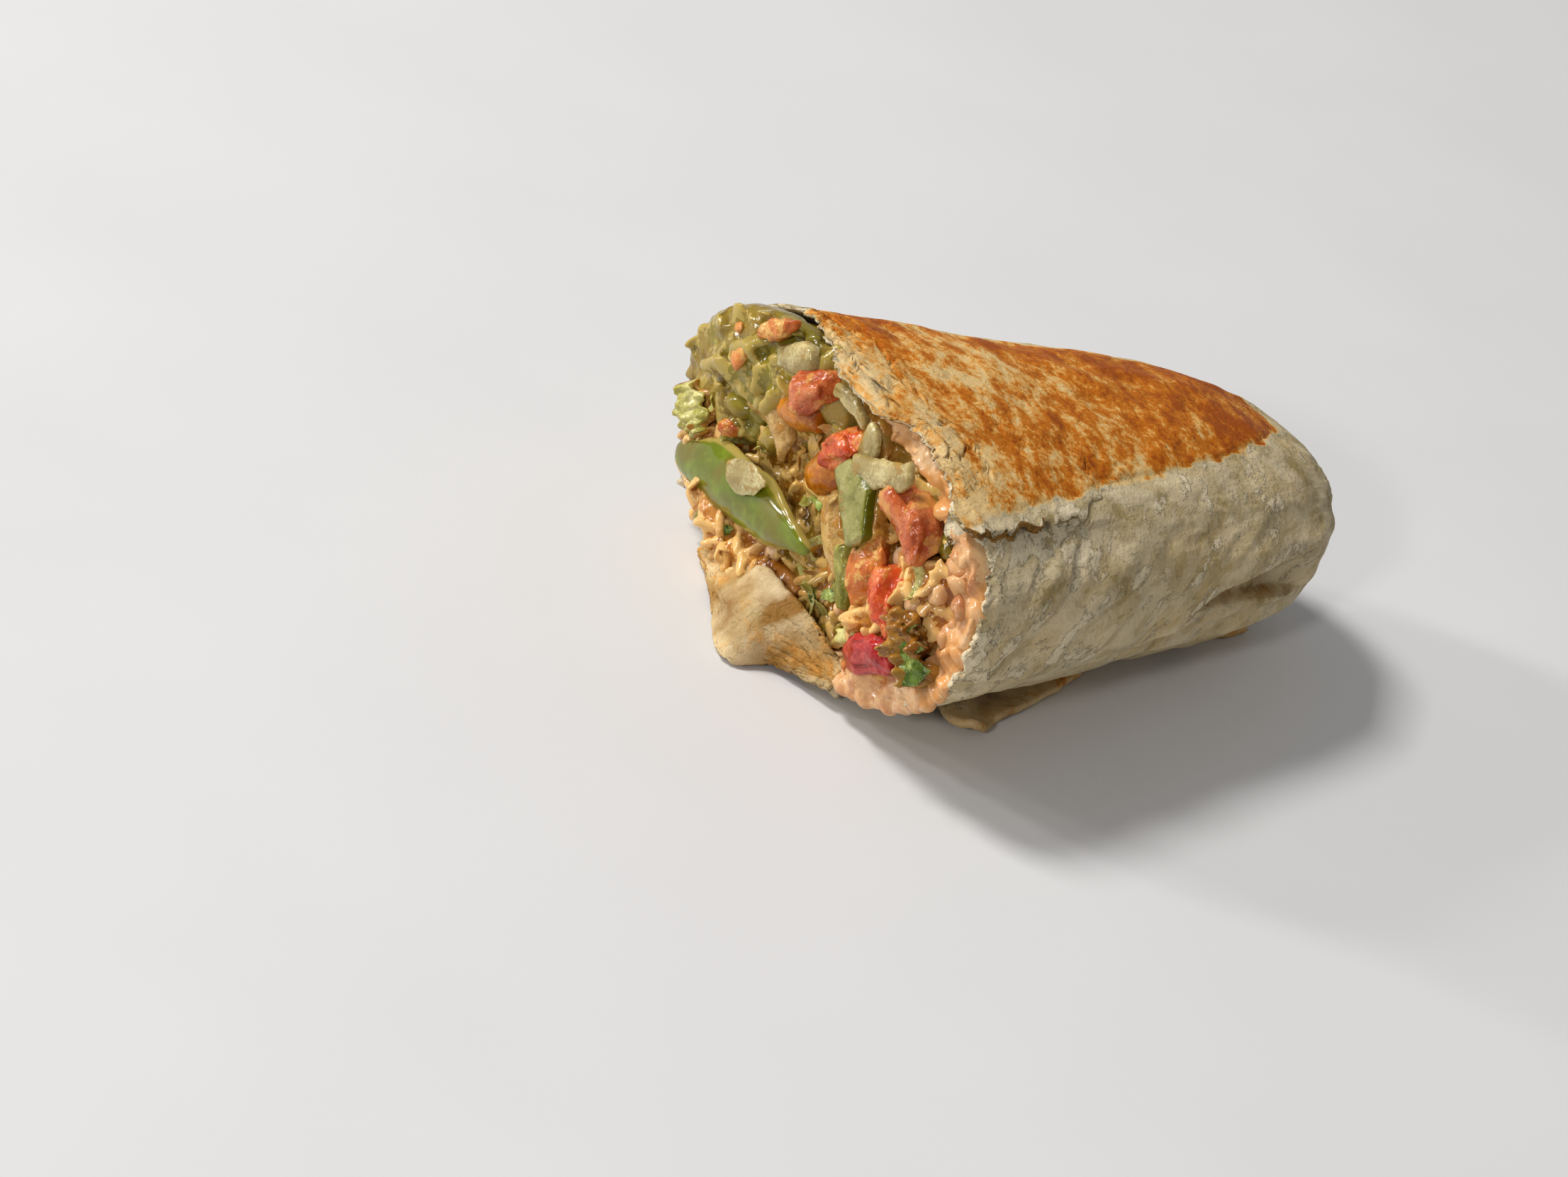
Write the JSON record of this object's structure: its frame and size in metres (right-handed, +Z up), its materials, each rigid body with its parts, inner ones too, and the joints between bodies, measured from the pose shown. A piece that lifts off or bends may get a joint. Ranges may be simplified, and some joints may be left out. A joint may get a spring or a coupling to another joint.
{
  "type": "burrito half",
  "caption": "Half of a griddled burrito lying on its side, cut end open on beans, rice, guacamole and vegetables, far end tucked shut.",
  "frame": {"origin": "on the flat underside, below the middle of the roll", "axes": "+X from the cut to the tucked end, +Y to the back of the roll, +Z up from the underside"},
  "size_m": [0.1308, 0.1032, 0.0564],
  "materials": {
    "tortilla": "dry, griddled brown on top",
    "beans": "moist paste",
    "rice": "moist",
    "guacamole": "moist paste",
    "salad": "moist",
    "pepper_skin": "glossy skin",
    "pepper_flesh": "wet",
    "tomato": "wet",
    "red_pepper": "wet",
    "onion": "wet, translucent",
    "amber": "wet",
    "herb": "wet leaf",
    "lettuce": "wet leaf"
  },
  "bodies": {
    "root": {"tortilla": "tortilla", "refried_beans": "beans", "rice_front": "rice", "rice_back": "rice", "guacamole": "guacamole", "salad": "salad", "onion_flake": "onion", "green_pepper_strip": "pepper_skin", "green_pepper_slab": "pepper_flesh", "tomato_red": "tomato", "tomato_orange": "tomato", "red_pepper": "red_pepper", "tomato_speckled": "tomato", "onion_bar": "onion", "tomato_middle": "tomato", "tomato_upper": "tomato", "orange_pepper": "amber", "onion_white": "onion", "onion_curved": "onion", "onion_glassy": "onion", "amber_pepper": "amber", "onion_arc": "onion", "onion_amber": "onion", "cabbage_strip": "onion", "celery_stalk": "herb", "cucumber_piece": "lettuce", "orange_slice": "amber", "herb_leaf": "herb", "lettuce_heart": "lettuce"}
  },
  "joints": []
}
